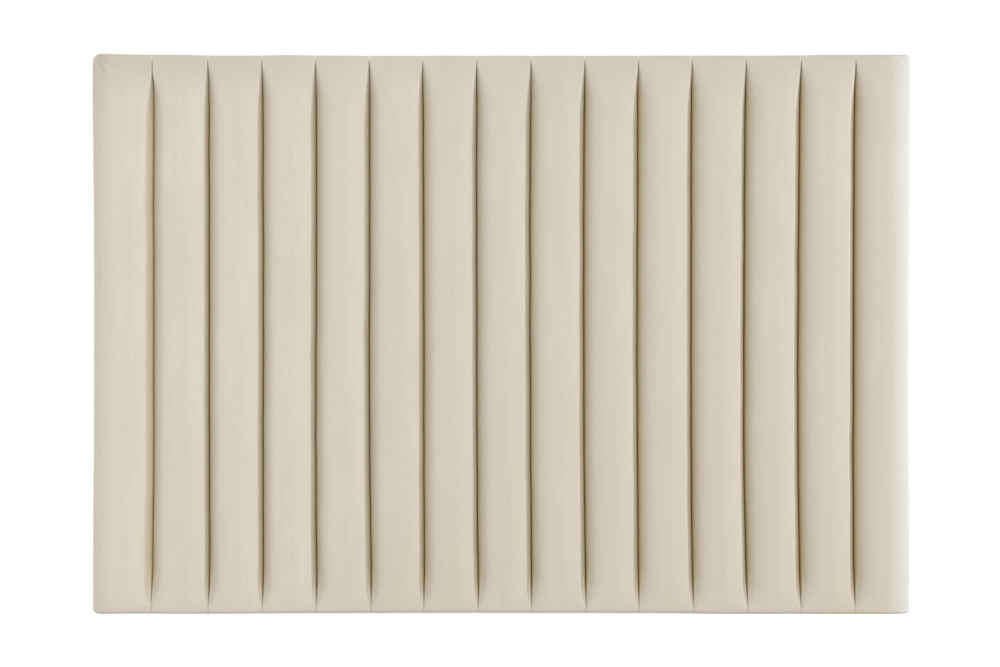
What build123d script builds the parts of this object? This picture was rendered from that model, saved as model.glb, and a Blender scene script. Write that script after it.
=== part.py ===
from build123d import *
from math import cos, radians, sin, tan
import os

# A floor-standing upholstered headboard for a double or queen bed, with fifteen upright channels.
# A half-lapped timber frame carries a plywood board, and strips of foam are glued to the board side
# by side. The cover is sewn from one strip of velvet per channel, backed with wadding that fills out
# the shoulders near the top and bottom edges, so that each groove runs out into a fine seam there.
# A listing strip on the board holds each seam down between two strips of foam. Round the edges the
# cover is pulled over soft pads and turned onto the back of the frame, under a thin dust cover.
#
# Millimetres. X runs across the bed, Y from the front (minus) to the wall (plus), and Z up.
# The origin is on the floor, under the middle of the panel.

# Whole panel
overall_width = 1600
overall_height = 1100
corner_radius = 10

# Cover
cover_thickness = 1.5
seam_gap = 0.3
turn_in = 45

# Channels: how many there are, and how wide the first and the last are
channel_count = 15
first_channel_width = 115
last_channel_width = 105

# Cross-section of the foam in a channel
crown_height = 40
crown_angle = 18
shoulder_radius = 20
side_radius = 24

# What the wadding makes of that section where a channel reaches the top and bottom edges
end_crown_angle = 3
end_shoulder_radius = 5
end_side_radius = 12
edge_roll_radius = 14
draw_in = 74
roll_angles = (0, 45, 90)
draw_shares = (0.5, 1)

# Listing strips that hold the seams down
listing_width = 12
listing_thickness = 2
listing_clearance = 0.3

# Timber frame and its board
member_width = 45
frame_depth = 36
board_thickness = 6
edge_pad_thickness = 6
inner_stile_offset = 450
middle_rail_height = 560

# Staples of square wire, one through each glued half-lap joint
staple_wire = 1.6
staple_crown = 12
staple_length = 30

# Threaded inserts for the bolts of a bed base, a pair of legs or a wall bracket
insert_bore_radius = 4
insert_radius = 5.5
insert_length = 18
insert_clearance = 0.1
insert_height = 230
insert_rise = 200

# Dust cover on the back
dust_cover_thickness = 0.6
dust_cover_margin = 15
dust_cover_hole_radius = 9

# Glides, each under the middle of one channel, with a square prong driven up into the bottom rail
glide_count = 4
glide_height = 4
glide_length = 56
glide_width = 18
glide_chamfer = 1
glide_setback = 6
prong_width = 2.4
prong_length = 26
prong_setback = 12
prong_clearance = 0.15

# How far a cut runs past the face that it opens
overrun = 1

# Depths, from the crown of the channels back to the dust cover
overall_depth = (
    cover_thickness + crown_height + board_thickness + frame_depth + cover_thickness + dust_cover_thickness
)
crown_front = -overall_depth / 2 + cover_thickness
board_front = crown_front + crown_height
cover_base = board_front - listing_thickness
frame_front = board_front + board_thickness
frame_back = frame_front + frame_depth
lap_plane = frame_front + frame_depth / 2
turn_in_back = frame_back + cover_thickness
dust_cover_back = turn_in_back + dust_cover_thickness

# Heights above the floor
cover_bottom = glide_height
cover_top = overall_height
pad_bottom = cover_bottom + cover_thickness
pad_top = cover_top - cover_thickness
pad_middle = (pad_bottom + pad_top) / 2
pad_height = pad_top - pad_bottom
frame_bottom = pad_bottom + edge_pad_thickness
frame_top = pad_top - edge_pad_thickness
frame_height = frame_top - frame_bottom
rail_heights = (frame_bottom + member_width / 2, middle_rail_height, frame_top - member_width / 2)
insert_heights = (insert_height, insert_height + insert_rise)

# Widths, and places from left to right
pad_width = overall_width - 2 * cover_thickness
frame_width = pad_width - 2 * edge_pad_thickness
outer_stile_offset = (frame_width - member_width) / 2
stile_places = (-outer_stile_offset, -inner_stile_offset, 0, inner_stile_offset, outer_stile_offset)
channel_pitch = (overall_width - first_channel_width - last_channel_width) / (channel_count - 2)
seam_places = [
    first_channel_width - overall_width / 2 + channel_pitch * seam for seam in range(channel_count - 1)
]
channel_edges = [-overall_width / 2, *seam_places, overall_width / 2]
glide_channels = range(1, channel_count - 1, (channel_count - 3) // (glide_count - 1))
glide_places = [(channel_edges[i] + channel_edges[i + 1]) / 2 for i in glide_channels]
glide_centre = board_front + glide_setback
prong_place = frame_front + prong_setback


def between(at_end, at_middle, share):
    """A size that changes from its value at the panel's edge to its value at mid-height."""
    return at_end + (at_middle - at_end) * share


def from_behind(x, z, y=frame_back):
    """A plane that faces the wall, for what is fitted or cut from behind."""
    return Plane((x, y, z), x_dir=(1, 0, 0), z_dir=(0, 1, 0))


def block(x_range, y_range, z_range, mode=Mode.ADD):
    """A block between three pairs of coordinates, in the part that is being built."""
    ranges = (x_range, y_range, z_range)
    with Locations(tuple((low + high) / 2 for low, high in ranges)):
        Box(*[high - low for low, high in ranges], mode=mode)


def trim_to_outline(inset):
    """Trims the part that is being built to the panel's rounded outline, seen from the front."""
    with BuildSketch(Plane.XZ.offset(-dust_cover_back)) as front_view:
        with Locations((0, pad_middle)):
            RectangleRounded(
                overall_width - 2 * inset,
                cover_top - cover_bottom - 2 * inset,
                corner_radius - inset,
            )
    extrude(front_view.sketch, amount=overall_depth, mode=Mode.INTERSECT)


def prong_hole(x):
    """A hole for the prong of the glide at x, cut up into the part that is being built."""
    reach = prong_width / 2 + prong_clearance
    block(
        (x - reach, x + reach),
        (prong_place - reach, prong_place + reach),
        (cover_bottom - overrun, cover_bottom + prong_length + prong_clearance),
        mode=Mode.SUBTRACT,
    )


def channel_sides(index, grow):
    """The left and right faces of a channel's foam, moved outwards by a thickness of cover."""
    at_edge = cover_thickness - grow
    at_seam = cover_thickness - grow + seam_gap / 2
    left = channel_edges[index] + (at_edge if index == 0 else at_seam)
    right = channel_edges[index + 1] - (at_edge if index == channel_count - 1 else at_seam)
    return left, right


def shoulder(index, side, share):
    """Radius of a shoulder of the foam: larger where the panel turns down to its side than at a seam."""
    if (index, side) in ((0, "left"), (channel_count - 1, "right")):
        return between(end_side_radius, side_radius, share)
    return between(end_shoulder_radius, shoulder_radius, share)


def section(index, z, crown, grow, base, share):
    """A channel's outline at height z: a base line, straight flanks, two shoulders and a shallow crown."""
    left, right = channel_sides(index, grow)
    left_radius = shoulder(index, "left", share) + grow
    right_radius = shoulder(index, "right", share) + grow
    angle = radians(between(end_crown_angle, crown_angle, share))
    crown_left = left + left_radius * (1 - sin(angle))
    crown_right = right - right_radius * (1 - sin(angle))
    crown_middle = (crown_left + crown_right) / 2
    front = board_front - crown
    crown_edge = front + (crown_right - crown_left) / 2 * tan(angle / 2)
    left_top = (left, crown_edge + left_radius * cos(angle))
    right_top = (right, crown_edge + right_radius * cos(angle))
    with BuildSketch(Plane.XY.offset(z)) as outline:
        with BuildLine():
            Line((left, base), left_top)
            TangentArc(left_top, (crown_left, crown_edge), tangent=(0, -1))
            ThreePointArc((crown_left, crown_edge), (crown_middle, front), (crown_right, crown_edge))
            TangentArc(right_top, (crown_right, crown_edge), tangent=(0, -1))
            Line(right_top, (right, base))
            Line((right, base), (left, base))
        make_face()
    return outline.sketch


def stations():
    """Height of each section of the cover, its crown, and its share of the full shape, from below."""
    rows = []
    for angle in roll_angles:
        reach = edge_roll_radius + cover_thickness
        z = pad_top - edge_roll_radius + reach * cos(radians(angle))
        crown = crown_height - edge_roll_radius + reach * sin(radians(angle))
        rows.append((z, crown, 0))
    for share in draw_shares:
        z = pad_top - edge_roll_radius - (draw_in - edge_roll_radius) * share
        rows.append((z, crown_height + cover_thickness, share * share * (3 - 2 * share)))
    lower = [(2 * pad_middle - z, crown, share) for z, crown, share in rows]
    return lower + rows[::-1]


def foam_channel(index):
    """The foam of one channel: an even section, with bevels at both ends where the cover rolls over."""
    with BuildPart() as foam:
        extrude(section(index, pad_bottom, crown_height, 0, board_front, 1), amount=pad_height)
        with BuildSketch(Plane.YZ) as side_view:
            with BuildLine():
                Polyline(
                    (board_front, pad_bottom),
                    (crown_front + edge_roll_radius, pad_bottom),
                    (crown_front, pad_bottom + edge_roll_radius),
                    (crown_front, pad_top - edge_roll_radius),
                    (crown_front + edge_roll_radius, pad_top),
                    (board_front, pad_top),
                    close=True,
                )
            make_face()
        extrude(side_view.sketch, amount=overall_width, both=True, mode=Mode.INTERSECT)
        if index in (0, channel_count - 1):
            trim_to_outline(cover_thickness)
    return foam.part


def listing_rebates(index):
    """Cuts the rebates for the listing strips along both seams of the foam that is being built."""
    reach = listing_width / 2 + listing_clearance
    for seam in seam_places[max(index - 1, 0) : index + 1]:
        block(
            (seam - reach, seam + reach),
            (cover_base - listing_clearance, board_front + overrun),
            (pad_bottom - overrun, pad_top + overrun),
            mode=Mode.SUBTRACT,
        )


def cover_hollow(index, foam):
    """What one strip of cover is wrapped round: the foam, the edge pads and the frame."""
    left, right = channel_sides(index, cover_thickness)
    first, last = index == 0, index == channel_count - 1
    hollow_left = left + cover_thickness if first else left - overrun
    hollow_right = right - cover_thickness if last else right + overrun
    with BuildPart() as hollow:
        block((hollow_left, hollow_right), (cover_base, frame_back), (pad_bottom, pad_top))
        if first or last:
            trim_to_outline(cover_thickness)
        add(foam)
    return hollow.part


def cover_strip(index, foam):
    """One strip of cover: over its foam, round the top and bottom edges, and onto the back."""
    left, right = channel_sides(index, cover_thickness)
    first, last = index == 0, index == channel_count - 1
    hollow = cover_hollow(index, foam)
    sections = [
        section(index, z, crown, cover_thickness, cover_base, share) for z, crown, share in stations()
    ]
    with BuildPart() as strip:
        loft(sections, ruled=True)
        block((left, right), (cover_base, turn_in_back), (cover_bottom, cover_top))
        if first or last:
            trim_to_outline(0)
        add(hollow, mode=Mode.SUBTRACT)
        block(
            (left + turn_in if first else left - overrun, right - turn_in if last else right + overrun),
            (frame_back - overrun, turn_in_back + overrun),
            (cover_bottom + turn_in, cover_top - turn_in),
            mode=Mode.SUBTRACT,
        )
        if index in glide_channels:
            prong_hole((left + right) / 2)
    return strip.part


def staple():
    """A square-wire staple. The back of its crown is at the origin, and its legs point to the front."""
    with BuildPart() as wire:
        with BuildSketch():
            Rectangle(staple_crown, staple_length, align=(Align.CENTER, Align.MAX))
            with Locations((0, -staple_wire)):
                Rectangle(
                    staple_crown - 2 * staple_wire,
                    staple_length,
                    align=(Align.CENTER, Align.MAX),
                    mode=Mode.SUBTRACT,
                )
        extrude(amount=staple_wire / 2, both=True)
    return wire.part


def frame_rail(z):
    """A horizontal member at height z. Its back half is cut away where each stile crosses it."""
    with BuildPart() as rail:
        with Locations((0, (frame_front + frame_back) / 2, z)):
            Box(frame_width, frame_depth, member_width)
        for x in stile_places:
            block(
                (x - member_width / 2, x + member_width / 2),
                (lap_plane, frame_back + overrun),
                (z - member_width / 2 - overrun, z + member_width / 2 + overrun),
                mode=Mode.SUBTRACT,
            )
        with Locations(*[(x, frame_back, z) for x in stile_places]):
            add(frame_staple, mode=Mode.SUBTRACT)
    return rail.part


def frame_stile(x):
    """An upright member at x. Its front half is cut away where each rail crosses it."""
    with BuildPart() as stile:
        with Locations((x, (frame_front + frame_back) / 2, pad_middle)):
            Box(member_width, frame_depth, frame_height)
        for z in rail_heights:
            block(
                (x - member_width / 2 - overrun, x + member_width / 2 + overrun),
                (frame_front - overrun, lap_plane),
                (z - member_width / 2, z + member_width / 2),
                mode=Mode.SUBTRACT,
            )
        with Locations(*[(x, frame_back, z) for z in rail_heights]):
            add(frame_staple, mode=Mode.SUBTRACT)
    return stile.part


def threaded_insert():
    """A threaded sleeve along -Z, with the back of its rim at the origin and its bolt bore through it."""
    with BuildPart() as sleeve:
        Cylinder(insert_radius, insert_length, align=(Align.CENTER, Align.CENTER, Align.MAX))
        Hole(insert_bore_radius)
    return sleeve.part


def glide():
    """A nylon glide with its prong. It runs from front to back, and stands on z = 0."""
    with BuildPart() as skid:
        with Locations((0, glide_centre, 0)):
            Box(
                glide_width,
                glide_length,
                glide_height,
                align=(Align.CENTER, Align.CENTER, Align.MIN),
            )
        chamfer(skid.faces().sort_by(Axis.Z)[0].edges(), length=glide_chamfer)
        with Locations((0, prong_place, glide_height)):
            Box(
                prong_width,
                prong_width,
                prong_length,
                align=(Align.CENTER, Align.CENTER, Align.MIN),
            )
    return skid.part


def save(piece, name):
    """Labels a finished piece and writes it to its own file."""
    piece.label = name
    export_step(piece, f"parts/{name}.step")


os.makedirs("parts", exist_ok=True)

# Foam and cover of each channel
for channel in range(channel_count):
    whole_foam = foam_channel(channel)
    with BuildPart() as foam_strip:
        add(whole_foam)
        listing_rebates(channel)
    save(foam_strip.part, f"foam_channel_{channel + 1:02d}")
    save(cover_strip(channel, whole_foam), f"cover_strip_{channel + 1:02d}")

# Listing strips, one under each seam
with BuildPart() as listing_strips:
    with Locations(*[(x, board_front - listing_thickness / 2, pad_middle) for x in seam_places]):
        Box(listing_width, listing_thickness, pad_height)
save(listing_strips.part, "listing_strips")

# Board on the front of the frame
with BuildPart() as front_board:
    with Locations((0, (board_front + frame_front) / 2, pad_middle)):
        Box(frame_width, board_thickness, frame_height)
save(front_board.part, "front_board")

# Edge pads round the frame and the board
edge_pads = {
    "top_edge_pad": ((-pad_width / 2, pad_width / 2), (frame_top, pad_top)),
    "bottom_edge_pad": ((-pad_width / 2, pad_width / 2), (pad_bottom, frame_bottom)),
    "left_edge_pad": ((-pad_width / 2, -frame_width / 2), (frame_bottom, frame_top)),
    "right_edge_pad": ((frame_width / 2, pad_width / 2), (frame_bottom, frame_top)),
}
for pad_name, (x_range, z_range) in edge_pads.items():
    with BuildPart() as edge_pad:
        block(x_range, (board_front, frame_back), z_range)
        trim_to_outline(cover_thickness)
        if pad_name == "bottom_edge_pad":
            for glide_x in glide_places:
                prong_hole(glide_x)
    save(edge_pad.part, pad_name)

# Staples through the half-lap joints
frame_staple = staple()
with BuildPart() as frame_staples:
    with Locations(*[(x, frame_back, z) for x in stile_places for z in rail_heights]):
        add(frame_staple)
save(frame_staples.part, "frame_staples")

# Rails of the frame. The bottom rail takes the prongs of the glides.
for rail_name, rail_height in zip(("bottom_rail", "middle_rail", "top_rail"), rail_heights):
    with BuildPart() as rail:
        add(frame_rail(rail_height))
        if rail_name == "bottom_rail":
            for glide_x in glide_places:
                prong_hole(glide_x)
    save(rail.part, rail_name)

# Stiles of the frame. The two inner stiles take the threaded inserts.
stile_names = ("left_stile", "left_inner_stile", "centre_stile", "right_inner_stile", "right_stile")
for stile_name, stile_x in zip(stile_names, stile_places):
    with BuildPart() as stile:
        add(frame_stile(stile_x))
        if stile_name in ("left_inner_stile", "right_inner_stile"):
            with Locations(*[from_behind(stile_x, z) for z in insert_heights]):
                Hole(insert_radius + insert_clearance, depth=insert_length + insert_clearance)
    save(stile.part, stile_name)

# Threaded inserts, flush with the back of the frame
insert_places = [(x, z) for x in (-inner_stile_offset, inner_stile_offset) for z in insert_heights]
insert_piece = threaded_insert()
with BuildPart() as threaded_inserts:
    with Locations(*[from_behind(x, z) for x, z in insert_places]):
        add(insert_piece)
save(threaded_inserts.part, "threaded_inserts")

# Dust cover over the turned-in cover and the frame, open at each threaded insert
with BuildPart() as dust_cover:
    with Locations((0, (turn_in_back + dust_cover_back) / 2, pad_middle)):
        Box(
            overall_width - 2 * dust_cover_margin,
            dust_cover_thickness,
            cover_top - cover_bottom - 2 * dust_cover_margin,
        )
    with Locations(*[from_behind(x, z, dust_cover_back) for x, z in insert_places]):
        Hole(dust_cover_hole_radius)
save(dust_cover.part, "dust_cover")

# Glides under the bottom edge
glide_piece = glide()
with BuildPart() as floor_glides:
    with Locations(*[(x, 0, 0) for x in glide_places]):
        add(glide_piece)
save(floor_glides.part, "floor_glides")
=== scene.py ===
import math

import bmesh
import bpy
import numpy as np
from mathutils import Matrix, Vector, geometry, noise


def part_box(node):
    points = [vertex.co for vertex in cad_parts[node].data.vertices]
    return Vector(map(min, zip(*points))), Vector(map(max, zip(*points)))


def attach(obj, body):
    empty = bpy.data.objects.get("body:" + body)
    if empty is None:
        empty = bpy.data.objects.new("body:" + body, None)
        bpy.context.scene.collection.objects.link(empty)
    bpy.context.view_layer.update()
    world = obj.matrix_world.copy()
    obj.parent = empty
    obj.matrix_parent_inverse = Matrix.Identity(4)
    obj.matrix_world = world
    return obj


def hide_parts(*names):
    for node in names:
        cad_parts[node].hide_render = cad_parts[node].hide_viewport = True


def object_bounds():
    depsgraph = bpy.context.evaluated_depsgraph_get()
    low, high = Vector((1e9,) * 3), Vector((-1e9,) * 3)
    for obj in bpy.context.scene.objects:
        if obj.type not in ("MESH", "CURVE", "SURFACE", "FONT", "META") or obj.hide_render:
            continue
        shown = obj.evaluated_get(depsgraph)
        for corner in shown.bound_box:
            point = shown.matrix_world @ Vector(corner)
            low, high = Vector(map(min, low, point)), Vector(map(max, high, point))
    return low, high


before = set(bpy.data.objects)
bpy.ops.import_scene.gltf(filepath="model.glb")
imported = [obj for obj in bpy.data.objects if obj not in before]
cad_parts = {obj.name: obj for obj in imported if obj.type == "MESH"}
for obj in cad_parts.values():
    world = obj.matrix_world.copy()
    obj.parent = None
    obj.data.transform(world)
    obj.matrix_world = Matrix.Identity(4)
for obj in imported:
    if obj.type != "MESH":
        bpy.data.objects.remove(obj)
cad_box = [list(corner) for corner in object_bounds()]
scene = bpy.context.scene

# A channel-tufted headboard. Lengths are millimetres here and become metres when a mesh is made.
# X runs across the bed, Y from the front (minus) to the wall (plus), and Z up from the floor.
MM = 0.001

# Sizes that the frame gives
COUNT = 15
HALF_GAP = 0.15
FRONT = cad_box[0][1] / MM
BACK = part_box("cover_strip_01")[1].y / MM
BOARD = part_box("front_board")[0].y / MM
LEFT, RIGHT = cad_box[0][0] / MM, cad_box[1][0] / MM
BOTTOM, TOP = (corner.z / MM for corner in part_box("cover_strip_01"))
SEAMS = [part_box(f"cover_strip_{i:02d}")[1].x / MM + HALF_GAP for i in range(1, COUNT)]
SIDE = {"left": LEFT, "right": RIGHT}
EDGE = {"top": TOP, "bottom": BOTTOM}
OUTWARD = {"left": (-1.0, 0.0), "right": (1.0, 0.0), "top": (0.0, 1.0), "bottom": (0.0, -1.0)}
CLOTH = 1.5

# How far each seam wanders off its nominal place, at these heights, because covers are pulled by hand
DRIFT_HEIGHTS = (1046.0, 811.0, 548.0, 281.0, 46.0)
SEAM_DRIFT = (
    (1.5, 1.8, 1.7, 1.7, -0.6),
    (4.0, 4.3, 4.7, 4.7, 5.6),
    (3.9, 4.4, 5.1, 4.3, 5.1),
    (2.4, 3.3, 2.3, 2.3, 4.4),
    (2.2, 2.0, 0.9, 1.9, 5.5),
    (0.7, 1.4, 2.2, 2.4, 3.0),
    (0.1, -0.3, 0.2, 0.8, 3.4),
    (0.5, -1.0, -0.8, 0.2, 2.0),
    (0.1, -1.6, -1.3, -0.5, 2.9),
    (-1.5, -1.9, -2.7, -1.7, -0.0),
    (-2.1, -2.3, -2.5, -2.0, 0.8),
    (-2.2, -3.7, -4.7, -4.2, 0.5),
    (-0.7, -2.5, -4.4, -4.0, -0.5),
    (0.4, -0.8, -1.0, -2.0, -0.6),
)
# Its finer wander: how far, over what size, and a seed
SEAM_WAVES = ((0.7, 110.0, 1), (0.35, 37.0, 31))
# How much wider than the rest the fold at each seam's left is
FOLD_EXTRA = (0.0, -1.8, -0.4, -0.3, 0.3, -0.2, -0.7, 0.9, 0.6, 1.2, 1.0, -0.3, 1.4, 1.2)

# Cross-section of a channel beside its left seam, as distances from the seam and depths below the
# crown: where the groove is open, in the first channels and in the last, and where it is shut
LEFT_OPEN = (
    (0.2, 38.0), (1.0, 37.0), (1.1, 31.0), (1.1, 26.0), (1.9, 21.8), (4.1, 17.4),
    (7.4, 13.2), (11.1, 9.2), (15.4, 5.0), (20.0, 1.9), (25.5, 0.4), (36.0, 0.0),
)
LEFT_OPEN_FAR = (
    (0.2, 38.0), (1.0, 37.2), (1.1, 32.0), (1.1, 28.0), (1.9, 24.0), (4.1, 19.4),
    (7.4, 14.9), (11.1, 10.8), (15.9, 6.6), (21.7, 3.1), (28.5, 0.9), (38.0, 0.1),
)
SHUT_LIP = ((0.0, 0.5), (0.02, 0.45), (0.05, 0.4), (0.1, 0.35), (0.2, 0.3), (0.35, 0.22), (0.7, 0.14))
LEFT_SHUT = SHUT_LIP + ((1.4, 0.06), (3.2, 0.0), (8.0, 0.0), (20.0, 0.0), (36.0, 0.0))
# The same beside its right seam, where the fold is tighter, apart from the first, which is slack
RIGHT_OPEN = (
    (0.2, 38.0), (1.0, 37.2), (1.1, 33.0), (1.1, 28.0), (2.4, 23.0), (4.2, 17.8), (6.2, 12.3),
    (8.2, 7.2), (8.9, 5.6), (9.7, 4.8), (13.5, 3.8), (22.0, 2.1), (36.0, 0.5),
)
FIRST_FOLD_OPEN = (
    (0.2, 38.0), (0.8, 36.5), (0.8, 32.0), (0.8, 27.0), (2.0, 21.0), (4.0, 18.4), (7.0, 14.2),
    (11.6, 7.6), (13.4, 5.6), (15.4, 4.5), (21.0, 3.2), (28.0, 1.8), (36.0, 0.5),
)
RIGHT_SHUT = SHUT_LIP + ((1.2, 0.08), (2.4, 0.03), (5.0, 0.0), (12.0, 0.0), (22.0, 0.0), (36.0, 0.0))
FOLD_EDGE = 8.9
# The last seam that is like the first ones, and over how many more that changes
LAST_NEAR, CHANGE_OVER = 5, 5
# The slit at a groove's bottom: where its walls are, its points, and how much narrower the first is
SLIT_FROM, SLIT_TO = 0.5, 1.5
SLIT_POINTS = 6
FIRST_SLIT = 0.6
# Unevenness of a groove's sides: what share, over what size, and a seed
GROOVE_WAVES = ((0.10, 90.0, 0), (0.05, 28.0, 50))
MIDDLE_COLUMNS = 6

# Between what distances from the top and bottom edges a groove deepens, and widens on its two sides
TOP_RUN = {"deepen": (11.0, 92.0), "shoulder": (18.0, 86.0), "fold": (18.0, 130.0)}
BOTTOM_RUN = {"deepen": (10.0, 93.0), "shoulder": (10.0, 66.0), "fold": (8.0, 50.0)}
# How much later each groove starts to widen at the top
TOP_DELAY = (24.0, 4.0, 8.0, 0.0, 0.0, 0.0, 4.0, 0.0, 0.0, 6.0, 0.0, 2.0, 2.0, 4.0)

# Heights of the top and bottom outlines at the left side, the middle of each channel and the right
# side, and how they dip at the seams
TOP_LINE = (
    1099.6, 1097.8, 1096.6, 1095.0, 1096.1, 1095.2, 1094.6, 1095.0, 1095.0, 1095.0, 1094.8, 1095.2,
    1095.2, 1095.2, 1096.4, 1096.7, 1096.9,
)
BOTTOM_LINE = (0.3, 1.4, 1.1, 1.3, 2.3, 2.7, 2.8, 3.1, 3.1, 2.9, 2.8, 2.4, 0.8, 0.8, 0.6, 0.3, 0.3)
SEAM_DIP = 0.3
SEAM_DIP_REACH = 30.0
LOWER_DIP = 0.6
# How far each side stands out at its corners and is drawn in between them, and over what shares of
# the height, from above and from below
STAND_OUT = {"left": 1.8, "right": 2.6}
DRAWN_IN = {"left": 2.9, "right": 2.9}
DRAWN_OVER = {"left": 0.35, "right": 0.6}
DRAWN_FROM_BELOW = 0.35
CORNER_SHARE = 0.03

# How far the front has fallen at some distances from the left side
LEFT_SLOPE_PLACES = (0.0, 8.0, 16.0, 20.0, 24.0, 28.0, 36.0, 48.0, 60.0)
LEFT_SLOPE_DEPTHS = (10.4, 6.7, 3.0, 1.8, 1.1, 0.7, 0.3, 0.05, 0.0)
# How far it falls towards the other edges and the upper left corner, and over what distance
RIGHT_SLOPE, CORNER_SLOPE = (11.0, 50.0), (6.0, 62.0)
TOP_SLOPE, BOTTOM_SLOPE = (4.6, 52.0), (1.6, 26.0)

# Unevenness of the stuffing: depth, how it is stretched upright, size and seed. It starts inside
# the edges.
SWELLS = ((0.55, 0.45, 70.0, 1), (0.22, 0.6, 26.0, 2))
SWELL_MIDDLE = 0.25
SWELL_START, SWELL_OVER = 8.0, 60.0
# Over what depth it ends in a groove
CALM_START, CALM_OVER = 6.0, 12.0
# Creases at the upper corners: side, turn and strength
PUCKERS = (("left", 0.2, 1.0), ("right", 0.9, 0.2))
PUCKER_DEPTH = 3.0
PUCKER_REACH = 75.0
PUCKER_FOLDS = 12.0
# Over what distances they start and run out, and how far they sway, over what length
PUCKER_START, PUCKER_FADE_FROM, PUCKER_FADE_OVER = 14.0, 12.0, 58.0
PUCKER_SWAY, PUCKER_SWAY_OVER = 0.9, 17.0
# The angles, in radians, at which they start and stop, each with the angle over which they do
PUCKER_LOW, PUCKER_HIGH = (0.08, 0.3), (1.5, 0.25)

# The border of a cover strip: over the rounded edge, down the wall and round onto the back
BORDER = 30.0
FRONT_LEVELS = (25.0, 20.5, 16.5, 13.0, 10.0, 7.4, 5.2, 3.4, 2.0, 1.0, 0.35, 0.0)
END_ROLL = {"top": 3.2, "bottom": 7.0}
SIDE_ROLL = {"left": 5.0, "right": 3.6}
SIDE_ROLL_OVER = 70.0
BACK_ROLL = 3.0
WALL_SHARES = (0.05, 0.12, 0.2, 0.35, 0.55, 0.75, 0.9, 1.0)
WALL_BULGE = 0.5
BACK_ANGLES = (22.5, 45.0, 67.5, 90.0)
TURN_IN_LEVELS = (10.0, 20.0, 32.0, 45.0)
TURN_IN_SINK, TURN_IN_OVER = 0.35, 14.0
# What share of a groove's depth shows at the back
BACK_DEPTH = 0.3
MITRE = 60.0
CORNER_RADII = {"left": {"top": 13.0, "bottom": 9.0}, "right": {"top": 7.0, "bottom": 8.0}}
CORNER_STEPS = 6
# How the top wall rises towards the back, and where the bottom wall comes down to its lowest
TOP_MARGIN, TOP_RISE = 0.4, 0.08
FOOT_START, FOOT_OVER = 9.0, 12.0
# Distances from a seam, and from the outline, over which its mark runs out
SEAM_MARK, SEAM_MARK_OVER = 0.5, 1.2
MARK_LEVEL = 9.0

# Heights of the rows of the core, as distances from the top or bottom edge
END_ROWS = (30.0, 34.0, 38.0, 43.0, 48.0, 54.0, 60.0, 67.0, 75.0, 84.0, 94.0)
ROW_PITCH = 14.0


def smooth(t):
    """A share from 0 to 1 that starts and stops gently."""
    t = np.clip(t, 0.0, 1.0)
    return t * t * (3 - 2 * t)


def uneven(x, z, size, seed):
    """Smooth unevenness from about -1 to 1, the same at every run."""
    return noise.noise(Vector((x / size, z / size, seed * 7.31)))


def curve_through(places, values, place):
    """The value at a place on a smooth curve through some values."""
    place = min(max(place, places[0]), places[-1])
    i = min(max(sum(p <= place for p in places) - 1, 0), len(places) - 2)
    slopes = np.gradient(values, places)
    run = places[i + 1] - places[i]
    t = (place - places[i]) / run
    rise = values[i + 1] - values[i]
    a, b = slopes[i] * run - rise, rise - slopes[i + 1] * run
    return values[i] + rise * t + t * (1 - t) * (a * (1 - t) + b * t)


def side_x(side, z):
    height = (z - BOTTOM) / (TOP - BOTTOM)
    drawn_in = DRAWN_IN[side] * smooth((height - CORNER_SHARE) / DRAWN_FROM_BELOW)
    drawn_in = drawn_in * smooth((1 - CORNER_SHARE - height) / DRAWN_OVER[side]) - STAND_OUT[side]
    return LEFT + drawn_in if side == "left" else RIGHT - drawn_in


def seam_x(seam, z):
    """Where a seam is at height z. Seams -1 and COUNT - 1 are the panel's sides."""
    if seam < 0:
        return side_x("left", z)
    if seam >= COUNT - 1:
        return side_x("right", z)
    drift = curve_through(DRIFT_HEIGHTS[::-1], SEAM_DRIFT[seam][::-1], z)
    drift += sum(most * uneven(0, z, size, seam + seed) for most, size, seed in SEAM_WAVES)
    return SEAMS[seam] + drift


def outline_heights():
    """Heights of the top and bottom outlines at every millimetre."""
    edges = [LEFT, *SEAMS, RIGHT]
    places = [LEFT] + [(a + b) / 2 for a, b in zip(edges, edges[1:])] + [RIGHT]
    xs = np.arange(LEFT, RIGHT + 1.0)
    dips = np.max([1 - smooth(np.abs(xs - seam) / SEAM_DIP_REACH) for seam in SEAMS], axis=0) * SEAM_DIP
    high = np.array([curve_through(places, TOP_LINE, x) for x in xs]) - dips
    low = np.array([curve_through(places, BOTTOM_LINE, x) for x in xs]) + dips * LOWER_DIP
    return xs, {"top": high, "bottom": low}


OUTLINE_X, OUTLINE_Z = outline_heights()


def outline_z(x, end):
    return float(np.interp(x, OUTLINE_X, OUTLINE_Z[end]))


def settle(x, y, end):
    """How far the top or bottom wall stands beyond the outline, at depth y."""
    if end == "top":
        return min(TOP - TOP_MARGIN - outline_z(x, end), max(y - FRONT - END_ROLL[end], 0.0) * TOP_RISE)
    return (outline_z(x, end) - BOTTOM) * smooth((y - FRONT - FOOT_START) / FOOT_OVER)


def opening(z, seam, *parts):
    """How far some parts of a groove have opened at height z, as shares."""
    high = TOP - z < z - BOTTOM
    run, reach = (TOP_RUN, TOP - z) if high else (BOTTOM_RUN, z - BOTTOM)
    shares = []
    for part in parts:
        start, stop = run[part]
        delay = TOP_DELAY[seam] if high and part != "deepen" else 0.0
        shut = 1 - np.clip((reach - start - delay) / (stop - delay), 0.0, 1.0)
        shares.append(1 - shut * shut)
    return shares


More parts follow.
